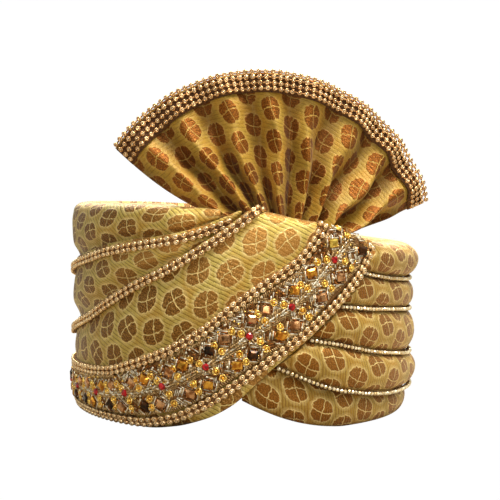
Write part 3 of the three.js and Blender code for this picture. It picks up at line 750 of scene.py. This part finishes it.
def crown_cap():
    azimuths = np.linspace(CAP_SPLIT, CAP_SPLIT + 360, CAP_POINTS + 1)[:-1]
    edge = lower_edge(azimuths) + CAP_RECESS
    dome = np.radians(np.linspace(84, 0, DOME_LOOPS))

    def dome_loops(off, rise, angles):
        return [place(azimuths, off, CAP_SHOULDER + rise * math.sin(a), math.cos(a)) for a in angles]

    outer = CAP_WALL - WINDING
    loops = dome_loops(outer, CAP_RISE, dome)
    loops += [place(azimuths, outer, edge), place(azimuths, -WINDING, edge)]
    loops += dome_loops(-WINDING, CAP_RISE - CAP_WALL, dome[::-1])
    return loft("cap_lining", np.array(loops), CLOTH_CAP)


cap = piece(crown_cap(), "cap_cloth", "crown_cap")


# Bead trims

# One bead is a metal ring round a dark disc, painted shade in its well, and a pale dot, a painted highlight,
# drawn one millimetre in radius
RING = lathe([
    (0.5, -0.9), (0.88, -0.5), (1.02, 0.0), (0.94, 0.42), (0.72, 0.72), (0.52, 0.74), (0.42, 0.6)], 12)
WELL = lathe([(0.4, 0.36), (0.43, 0.62)], 12)
DOT = lathe([(0.27, 0.2), (0.27, 0.6), (0.2, 0.76), (0.08, 0.82)], 8)
KNOT = ball(4, 7)
BEAD_PITCH, BEAD_LIFT = 5.1, 2.5
TAPE_THICK, TAPE_LIFT, TAPE_STEP = 1.2, 0.8, 2.0
TAPE_SECTION = [(1, 0), (0.8, 1), (-0.8, 1), (-1, 0), (-0.8, -1), (0.8, -1)]
# Stretch of a bead, and half-lengths of a knot to a bead's radius: along the row, across it and off the cloth
TRIM_FORM, BORDER_FORM = np.array((1.14, 0.94, 1.0)), np.array((1.0, 1.1, 1.0))
KNOT_SIZE, KNOT_SINK = np.array((0.6, 0.38, 0.42)), 0.3


def trim_tape(name, offset, height, end, half_width):
    _, p, _, across, normal = line_frames(offset, height, TRIM_START, end, TAPE_STEP)
    loops = [p + across * half_width * a + normal * (TAPE_LIFT + b * TAPE_THICK / 2) for a, b in TAPE_SECTION]
    return loft(name, np.stack(loops, 1), STRING)


def bead_rows(name, rows, ring, form):
    """rows is a list of (points, along, normal, bead radius). A knot of thread lies between two beads."""
    frames = [as_frames(along, np.cross(normal, along), normal) for _, along, normal, _ in rows]
    sizes = [np.full((len(p), 1), 1.0) * np.reshape(radius, (-1, 1)) for p, _, _, radius in rows]
    spots = join([p for p, _, _, _ in rows])
    form = join(sizes) * (1 + RNG.uniform(-0.05, 0.05, (len(spots), 1))) * form
    # The well disc carries painted shade, the dot a painted highlight
    parts, metals = [(*RING, 0), (*WELL, 1), (*DOT, 2)], [ring, COPPER_WELL_SHADE, COPPER_HIGHLIGHT]
    beads = tile(name, parts, spots, tilted(join(frames), 0.06), form, metals)
    spots = join([(p[1:] + p[:-1]) / 2 - normal[1:] * KNOT_SINK for p, _, normal, _ in rows])
    frames, sizes = (join([item[1:] for item in items]) for items in (frames, sizes))
    return beads, tile(name + "_knots", [(*KNOT, 0)], spots, frames, sizes * KNOT_SIZE, [KNOTS])


# Trims: surface, line of heights, last azimuth, bead radius, half the rows' spacing, and shift up the cloth
TRIMS = [
    ("upper_trim", middle_offset, LEFT["upper"], -3.5, 1.78, 1.72, 0.0),
    ("lower_trim", front_round, LEFT["lower"], 6.0, 1.78, 1.72, 0.0),
    ("band_top_trim", front_round, LEFT["top"], 25.0, 1.9, 1.8, -0.6),
    ("band_low_trim", front_round, LEFT["low"], 43.6, 1.9, 1.8, 0.6)]
for name, offset, height, end, radius, half, aside in TRIMS:
    piece(trim_tape(name + "_tape", offset, height, end, half + 0.4 * radius), "copper_beads", name)
    az, p, along, across, normal = line_frames(offset, height, TRIM_START + 0.5, end - 0.3, BEAD_PITCH)
    full = mix(0.84, 1.0, ease(-80, -30, az))
    apart = across * (half * full)[:, None]
    middle = p + across * aside + normal * BEAD_LIFT
    rows = [(middle + side * apart, along, normal, radius * full) for side in (-1, 1)]
    for made in bead_rows(name + "_beads", rows, COPPER, TRIM_FORM):
        piece(made, "copper_beads", name)


# Stone chains

STONE = lathe([(0.6, -0.5), (1.02, 0.1), (1.02, 0.4), (0.72, 1.0), (0.3, 1.26)], 8)
STONE_CUP = lathe([(0.8, -1.6), (1.1, -0.9), (1.16, -0.2), (0.9, -0.1)], 10)
STONE_SIZE, STONE_PITCH, STONE_LIFT, STONE_TILT = 1.26, 3.15, 0.7, 0.36
CHAIN_END = 203.0


def chain_offset(az, z):
    return CHAIN_OFF + crease(az) + 0 * z


for n in range(1, 5):
    name, height = f"stone_chain_{n}", RIGHT[f"chain{n}"]
    start = comes_out(height, 1.5)
    _, p, along, across, normal = line_frames(chain_offset, height, start, CHAIN_END, STONE_PITCH)
    frames = tilted(as_frames(along, across, normal), STONE_TILT)
    sizes = np.full((len(p), 3), STONE_SIZE)
    parts = [(*STONE_CUP, 0), (*STONE, 1)]
    made = tile(name + "_stones", parts, p + normal * STONE_LIFT, frames, sizes, [SETTING, CRYSTAL], False)
    piece(made, "crystal_chain", name)


# The fan. share runs from its left side to its right, and reach from its foot to its edge

FAN_WALL = 1.8
FAN_TRIM = 0.978  # the cloth ends under the outermost row of beads
FOLD_REACH, FOLD_DEPTH = (0, 0.3, 0.5, 0.75, 0.88, 1), (7.4, 7.0, 6.4, 4.6, 3.0, 1.2)
PLEAT_SHARP = 0.93  # 1 makes the pleats straight-sided
SWAY, PUCKER, LOOSE_END = 0.9, 1.1, 0.94  # pleats wander and pucker as far as the border
FIRST_ROW = 0.5 * MOTIF_Q + 23.5  # how far from the edge the motifs start
FAN_FRONT = FAN_WALL / 2 + 0.9
BORDER_EDGE, BORDER_THICK = 3.4, 1.4
BORDER_ROWS, BORDER_STEP, BORDER_FIRST = 4, 3.65, 1.6
BORDER_PITCH, BORDER_BEAD, BORDER_LIFT = 4.5, 1.62, 2.4


def fan_edge(share):
    angle = np.radians(mix(FAN_A0, FAN_A1, share))
    swept = np.maximum(0, np.cos(angle) / math.cos(math.radians(FAN_A1)))
    y = FAN_Y + FAN_SWEEP * swept ** 2
    return np.stack([FAN_CX + FAN_R * np.cos(angle), y, FAN_CZ + FAN_R * np.sin(angle)], -1)


def fan_foot(share):
    az = mix(FOOT_A0, FOOT_A1, share)
    return place(az, FOOT_OFF, LEFT["rim"](az) - mix(8, 6, share))


def fan_normal(share):
    return unit(np.cross(fan_edge(share + 0.01) - fan_edge(share - 0.01), fan_edge(share) - fan_foot(share)))


def fan_length(share):
    return np.linalg.norm(fan_edge(share) - fan_foot(share), axis=-1)


def fan_point(share, reach, lift):
    share, reach = np.broadcast_arrays(np.asarray(share, float), np.asarray(reach, float))
    sag = FAN_SAG * (1 - ease(0, 0.35, share)) + 1.5 * ease(0.7, 1, share)
    depth = np.interp(reach, FOLD_REACH, FOLD_DEPTH)
    loose = np.sin(math.pi * np.clip(reach / LOOSE_END, 0, 1))
    sway = SWAY * np.sin(6.3 * reach + 17 * share) * loose
    wave = np.arcsin(PLEAT_SHARP * np.cos(2 * math.pi * PLEATS * share + sway)) / math.asin(PLEAT_SHARP)
    pleat = -depth * wave + PUCKER * np.sin(15 * reach + 23 * share) * loose
    foot, edge = fan_foot(share), fan_edge(share)
    point = foot + (edge - foot) * reach[..., None]
    point[..., 2] -= sag * 4 * reach * (1 - reach)
    return point + fan_normal(share) * (pleat + lift)[..., None]


def fan_way(share, reach, share_step, reach_step):
    ahead = fan_point(share + share_step, reach + reach_step, FAN_FRONT)
    return unit(ahead - fan_point(share - share_step, reach - reach_step, FAN_FRONT))


shares = np.linspace(0, 1, PLEATS * PLEAT_POINTS + 1)[:, None]
reaches = np.linspace(0, 1, REACH_POINTS)[None, :]
there, back = FAN_TRIM * reaches, FAN_TRIM * reaches[:, ::-1]
loops = join([fan_point(shares, there, FAN_WALL / 2), fan_point(shares, back, -FAN_WALL / 2)], 1)
drawn = (1 - join([reaches, reaches[:, ::-1]], 1)) * fan_length(shares)
fan_uv = np.stack(np.broadcast_arrays(2 * PLEATS * shares * MOTIF_P, FIRST_ROW - drawn), -1)
fan = piece(loft("fan_cloth", loops, CLOTH_FAN, fan_uv), "fan_brocade", "fan")

edge_shares = shares[:, 0]
tape = [fan_point(edge_shares, 1 - inset / fan_length(edge_shares), FAN_FRONT + rise) for inset, rise in (
    (BORDER_EDGE, 0.0), (BORDER_EDGE, BORDER_THICK), (BORDER_W, BORDER_THICK), (BORDER_W, 0.0))]
piece(loft("fan_border_tape", np.stack(tape, 1), BORDER_TAPE), "copper_beads", "fan_border")

edge_shares = np.linspace(0, 1, 1200)
edge_run = run_along(fan_point(edge_shares, 1.0, 0))
count = int(edge_run[-1] / BORDER_PITCH)
bead_share = np.interp((np.arange(count) + 0.5) * edge_run[-1] / count, edge_run, edge_shares)
rows = []
for row in range(BORDER_ROWS):
    reach = 1 - (BORDER_FIRST + BORDER_STEP * row) / fan_length(bead_share)
    along, out = fan_way(bead_share, reach, 0.002, 0), fan_way(bead_share, reach, 0, 0.01)
    spots = fan_point(bead_share, reach, FAN_FRONT + BORDER_LIFT)
    rows.append((spots, along, unit(np.cross(along, out)), BORDER_BEAD))
for made in bead_rows("fan_border_beads", rows, BORDER_RING, BORDER_FORM):
    piece(made, "copper_beads", "fan_border")


# The jewelled band

TRIM_ROOM = TRIM_HALF + GAP + 0.2
BAND_BACK = GAP + 0.1  # how far the band's back lies off the wrap
BAND_END = 39.5
BAND_MARGIN = 0.4  # stones and thread keep this far from the band's edges
HALF_BAND = 16.7  # half of the embroidered width, for which the cells are drawn
CELL_LENGTH = 35.0
STONE_SEAT = 0.1  # how far set stones stand off the band


def slope_angle(height, az):
    return np.arctan((height(az + 0.5) - height(az - 0.5)) / (arc(az + 0.5) - arc(az - 0.5)))


def band_low(az):
    return LEFT["low"](az) + TRIM_ROOM / np.cos(slope_angle(LEFT["low"], az))


def band_high(az):
    below_trim = LEFT["top"](az) - TRIM_ROOM / np.cos(slope_angle(LEFT["top"], az))
    return np.minimum(below_trim, LEFT["rim"](az) - 0.8)


def band_middle(az):
    return (LEFT["low"](az) + LEFT["top"](az)) / 2


def band_section(az):
    z = mix(band_low(az), band_high(az), np.linspace(0, 1, BAND_POINTS))
    skin = front_round(az, z) + BAND_BACK
    both_ways = join([z, z[::-1]])
    return join([skin, skin[::-1] + BAND_WALL]), both_ways, both_ways


pattern = lattice(0, 0, MOTIF_P, 0, MOTIF_Q, 0)
band = wind("band_cloth", band_section, spaced(TRIM_START, BAND_END), pattern, BAND_CLOTH)
piece(band, "embroidery", "jewelled_band")

BAND_AZ = np.linspace(TRIM_START - 0.5, 45, 4000)
BAND_RUN = run_along(np.column_stack([arc(BAND_AZ), band_middle(BAND_AZ)]))
BAND_LENGTH = BAND_RUN[-1]
CELL_RUN = np.interp(CELLS, BAND_AZ, BAND_RUN)
CELL_STEP = np.abs(np.gradient(CELL_RUN))


def on_band(run, across, lift, turn):
    """Points and frames at a run along the band and a way across it, and which of them are on it."""
    az0 = np.interp(run, BAND_RUN, BAND_AZ)
    slope = slope_angle(band_middle, az0)
    half = (LEFT["top"](az0) - LEFT["low"](az0)) / 2 * np.cos(slope) - TRIM_ROOM
    across = across * np.minimum(half / HALF_BAND, 1.15)
    az = az0 - across * np.sin(slope) / (arc(az0 + 0.5) - arc(az0 - 0.5))
    z = band_middle(az0) + across * np.cos(slope)
    p, normal = on_surface(front_round, az, z)
    ahead, behind = (on_line(front_offset, band_middle, a) for a in (az0 + 0.3, az0 - 0.3))
    up = unit(np.cross(normal, ahead - behind))
    right = np.cross(up, normal)
    c, s = np.cos(turn)[..., None], np.sin(turn)[..., None]
    frames = as_frames(right * c + up * s, up * c - right * s, normal)
    on = (z > band_low(az) + BAND_MARGIN) & (z < band_high(az) - BAND_MARGIN)
    on = on & (az > TRIM_START + 0.5) & (az < BAND_END - 0.5)
    return p + normal * (lift + BAND_BACK + BAND_WALL)[..., None], frames, on


# Places in one cell, along the band towards the left and across it. SOLID_SQUARES are the two mirrors
ROUNDS = [
    (-13.5, 8.2), (-14.6, 2.4), (3.2, 4.0), (7.2, 8.8),
    (-4.0, -6.4), (-4.6, -12.8), (13.0, -6.0), (12.6, -12.2)]
SQUARES = [(13.8, 7.8), (-17.0, -11.0)]
SOLID_SQUARES = [(-7.5, 7.7), (5.0, -11.3)]
UPRIGHT = -math.radians(42)  # turn of the square stones on the band


def cell_spots(spots):
    run = join([CELL_RUN - a * CELL_STEP / CELL_LENGTH for a, _ in spots])
    across = join([np.full(len(CELL_RUN), b) for _, b in spots])
    return run, across


def cut_square(half_long, half_wide, corner):
    """A square stone with cut corners, an upright girdle and a table."""
    c = 1 - corner
    outline = np.array([(1, c), (c, 1), (-c, 1), (-1, c), (-1, -c), (-c, -1), (c, -1), (1, -c)])
    return stacked([np.column_stack([outline * (half_long * size, half_wide * size), np.full(8, height)])
                    for size, height in ((1, 0), (1, 1.0), (0.58, 2.0))])


def scatter(name, parts, run, across, lift, turn, scales, materials, kinds=None, smooth=True, lean=0.0):
    spots, frames, on = on_band(run, across, lift, turn)
    frames = tilted(frames, lean) if lean else frames
    kinds = None if kinds is None else kinds[on]
    made = tile(name, parts, spots[on], frames[on], scales[on], materials, smooth, kinds)
    return piece(made, "embroidery", "jewelled_band")


# Square stones beside those of the solid cells
run, across = cell_spots(SQUARES)
n = len(run)
turn = UPRIGHT + RNG.uniform(-0.25, 0.25, n)
tints = RNG.choice(len(MIRRORS), n, p=(0.32, 0.16, 0.42, 0.1))
stone = cut_square(half_long=3.4, half_wide=2.8, corner=0.2)
scatter("square_stones", [(*stone, 0)], run, across, np.full(n, STONE_SEAT), turn,
        np.ones((n, 3)), MIRRORS, tints, smooth=False, lean=0.12)

# Round gold stones, each in a toothed metal ring over a dark disc, painted shade in the groove between ring
# and stone
run, across = cell_spots(ROUNDS)
n = len(run)
toothed = lathe([(2.0, 0.0), (2.75, 0.3), (2.8, 0.8), (2.3, 1.25), (1.75, 1.05), (1.6, 0.6)], 20)
toothed[0][:, :2] *= np.where(np.arange(len(toothed[0])) % 2, 1.0, 0.88)[:, None]
dark_disc = lathe([(1.5, 0.3), (1.62, 0.65)], 12)
dome_stone = lathe([(1.25, 0.2), (1.2, 0.85), (0.85, 1.35), (0.3, 1.6)], 10)
run, across = run + RNG.uniform(-0.5, 0.5, n), across + RNG.uniform(-0.4, 0.4, n)
rosette = [(*dome_stone, 0), (*toothed, 1), (*dark_disc, 2)]
scatter("round_stones", rosette, run, across, np.full(n, STONE_SEAT), RNG.uniform(0, 0.6, n),
        np.full((n, 3), 0.98), [GOLD_STONE, GOLD_METAL, BRONZE], lean=0.15)

# Bugle beads and metal thread: frames round the squares, spokes round the red stones, a braid down the
# middle, and a herringbone ground
ROD_MATERIALS = [SILVER, THREAD, BRONZE]
SILVER_ROD, THREAD_ROD, BRONZE_ROD = range(3)
FRAME_ROWS = ((3.9, 0.75, BRONZE_ROD), (4.8, 0.6, SILVER_ROD), (5.6, 0.5, THREAD_ROD))  # away, lift, kind
SPOKES, SPOKE_AWAY = 10, 4.3
BRAID_STEP = 1.35
BLOCK, BLOCK_LINE, BLOCK_ROD, BLOCK_REACH = 8.7, 1.15, 4.4, 9  # the herringbone's blocks, and rods in one
ZONES = ((3.4, 9.2), (9.2, 15.6))  # its two rows on each side of the braid
MOODS = ((0.7, 0.2, 0.1), (0.2, 0.45, 0.35), (0.1, 0.3, 0.6))  # shares of silver, thread and bronze
SILVER_END = 52.0  # length of the band's top end that is mostly silver
rod_verts, rod_faces = lathe([(1.0, -0.5), (1.0, 0.5)], 5)
ROD = (rod_verts[:, [2, 0, 1]], rod_faces)  # laid along its own first axis
rods = []


def add_rods(run, across, turn, length, radius, lift, kind):
    columns = np.broadcast_arrays(run, across, turn, length, radius, lift, kind)
    rods.append(np.stack(columns, -1).reshape(-1, 7))


def add_block(centre, side, low, high, turn):
    """Parallel rods inside one block of the herringbone."""
    turn = turn + RNG.normal(0, 0.12)
    lines = np.arange(-BLOCK_REACH, BLOCK_REACH, BLOCK_LINE)
    a, b = np.meshgrid(lines, np.arange(-BLOCK_REACH, BLOCK_REACH, BLOCK_ROD))
    b = b + RNG.uniform(-1.5, 1.5, len(lines))[None, :]
    run = centre + b * math.cos(turn) - a * math.sin(turn)
    across = side * (low + high) / 2 + b * math.sin(turn) + a * math.cos(turn)
    keep = (np.abs(run - centre) < BLOCK / 2) & (side * across > low) & (side * across < high)
    mood = 0 if centre > BAND_LENGTH - SILVER_END else RNG.integers(3)
    kind = RNG.choice(3, keep.sum(), p=MOODS[mood])
    turn = turn + RNG.normal(0, 0.1, keep.sum())
    add_rods(run[keep], across[keep], turn, 4.2, 0.36, RNG.uniform(0.15, 0.45, keep.sum()), kind)


run, across = cell_spots(SQUARES + SOLID_SQUARES)
for away, lift, kind in FRAME_ROWS:
    for k in range(4):
        turn = k * math.pi / 2 + UPRIGHT
        x, y = away * math.cos(turn), away * math.sin(turn)
        add_rods(run + x, across + y, turn + math.pi / 2, 5.4, 0.4, lift, kind)
for k in range(SPOKES):
    turn = 2 * math.pi * (k + 0.5) / SPOKES
    x, y = SPOKE_AWAY * math.cos(turn), SPOKE_AWAY * math.sin(turn)
    add_rods(CELL_RUN + x, y, turn, 2.8, 0.4, 0.6, (SILVER_ROD, THREAD_ROD)[k % 2])
braid = np.arange(6, BAND_LENGTH - 3, BRAID_STEP)
for side in (-1, 1):
    add_rods(braid, side * 0.75, side * 0.55, 2.4, 0.42, 0.7, RNG.choice(2, len(braid), p=(0.45, 0.55)))
    add_rods(braid, side * 2.5, side * 0.85, 3.4, 0.38, 0.45, THREAD_ROD)
    add_rods(braid + 0.7, side * 15.8, side * 1.25, 2.6, 0.4, 0.4, THREAD_ROD)
for k, centre in enumerate(np.arange(8, BAND_LENGTH, BLOCK)):
    for side in (-1, 1):
        for zone, (low, high) in enumerate(ZONES):
            add_block(centre, side, low, high, side * (0.75 if (k + zone) % 2 else 2.2))
run, across, turn, length, radius, lift, kind = join(rods).T
scatter("bugle_beads", [(*ROD, 0)], run, across, lift, turn, np.stack([length, radius, radius], -1),
        ROD_MATERIALS, kind.astype(int), lean=0.1)

# Seed beads strewn over the band
SEEDS, SEED_RADIUS = 700, 0.75
run, across = RNG.uniform(4, BAND_LENGTH, SEEDS), RNG.uniform(-16, 16, SEEDS)
lift = RNG.uniform(0.5, 1.0, SEEDS)
kinds = RNG.choice(3, SEEDS, p=(0.4, 0.25, 0.35))
scatter("seed_beads", [(*KNOT, 0)], run, across, lift, np.zeros(SEEDS), np.full((SEEDS, 3), SEED_RADIUS),
        [SILVER, GOLD_METAL, BRONZE], kinds)

# Finish of the solid stones, from the band's top end
UPPER_TINT = (3, 0, 2, 1, 2, 2, 0, 2, 1, 2, 0, 2, 1)
LOWER_TINT = (2, 2, 1, 0, 2, 2, 0, 1, 2, 0, 2, 1, 2)
for n, (upper, lower) in enumerate(zip(UPPER_TINT, LOWER_TINT), 1):
    finishes = {"red_stone": RUBY, "upper_mirror": MIRRORS[upper], "lower_mirror": MIRRORS[lower]}
    for node, material in finishes.items():
        stone = bpy.data.objects[f"{node}_{n}"]
        stone.data.materials.clear()
        stone.data.materials.append(material)


# Stage, light and camera

BACKDROP_RADIUS, FLOOR_HALF, FLOOR_Z = 4000.0, 1500.0, -0.5
scene = bpy.context.scene
scene.view_settings.view_transform = "Standard"

dome_verts, dome_faces = ball(16, 32)
white = Graph(bpy.data.materials.new("backdrop_white")).finish(
    Base_Color=(0, 0, 0), Emission_Color=(255, 255, 255), Emission_Strength=1.0)
dome = make_object("backdrop", dome_verts * BACKDROP_RADIUS, dome_faces, white)
for ray in ("diffuse", "glossy", "transmission", "volume_scatter", "shadow"):
    setattr(dome, "visible_" + ray, False)
floor_finish = speckled("floor_white", (150, 140, 122), (164, 154, 136), 8, 0.9, 0.0)
corners = [(x * FLOOR_HALF, y * FLOOR_HALF, FLOOR_Z) for x, y in ((-1, -1), (1, -1), (1, 1), (-1, 1))]
floor = make_object("floor", corners, [np.array([[0, 1, 2, 3]])], floor_finish)
floor.visible_camera = False

# A room that brightens towards one side
BRIGHT_SIDE, ROOM_TINT = [0.17, 0.28, 0.9], [0.96, 1.0, 0.93, 1.0]
scene.world = bpy.data.worlds.new("room")
sky = Graph(scene.world, "Background")
way = sky.node("ShaderNodeTexCoord", output="Generated")
facing = sky.node("ShaderNodeVectorMath", [(0, way), (1, BRIGHT_SIDE)], "Value", operation="DOT_PRODUCT")
sky.finish(Color=ROOM_TINT, Strength=sky.step(facing, -0.35, 0.95, 0.05, 0.84, "LINEAR"))


def lamp(name, position, aim, size, power, colour):
    data = bpy.data.lights.new(name, "AREA")
    data.size, data.energy, data.color = size, power, colour
    obj = bpy.data.objects.new(name, data)
    scene.collection.objects.link(obj)
    obj.location = position
    obj.rotation_mode = "QUATERNION"
    obj.rotation_quaternion = (Vector(aim) - Vector(position)).to_track_quat("-Z", "Y")
    return obj


# Place and aim in metres, size, watts and colour
lamp("key_top", (0.22, -0.3, 0.72), (0.03, -0.05, 0.12), 0.25, 6.0, (1.0, 0.97, 0.92))
lamp("front", (-0.3, -1.2, 0.4), (0.0, 0.0, 0.1), 0.3, 3.4, (1.0, 0.98, 0.95))
lamp("rim_left", (-0.26, 0.42, 0.56), (-0.08, -0.05, 0.14), 0.3, 3.0, (1.0, 1.0, 0.94))
glint = lamp("glint", (-0.75, -0.15, 0.3), (-0.1, 0.0, 0.1), 0.35, 0.35, (1.0, 0.99, 0.95))
glint.visible_diffuse = False
lamp("low_right", (0.4, -0.9, 0.08), (0.06, -0.1, 0.03), 0.3, 1.0, (1.0, 0.96, 0.88))
lamp("rim", (0.2, 0.4, 0.66), (0.0, 0.0, 0.1), 0.4, 9.0, (1.0, 0.98, 0.93))

CAMERA_PLACE, CAMERA_DOWN = (0.0035, -1.15, 0.176), 3.25  # metres, and degrees below level
eye = bpy.data.cameras.new("camera")
eye.lens, eye.sensor_width = 116.64, 36.0
eye.clip_start, eye.clip_end = 0.05, 20.0
camera = bpy.data.objects.new("camera", eye)
scene.collection.objects.link(camera)
camera.location = CAMERA_PLACE
camera.rotation_euler = (math.radians(90 - CAMERA_DOWN), 0.0, 0.0)
scene.camera = camera
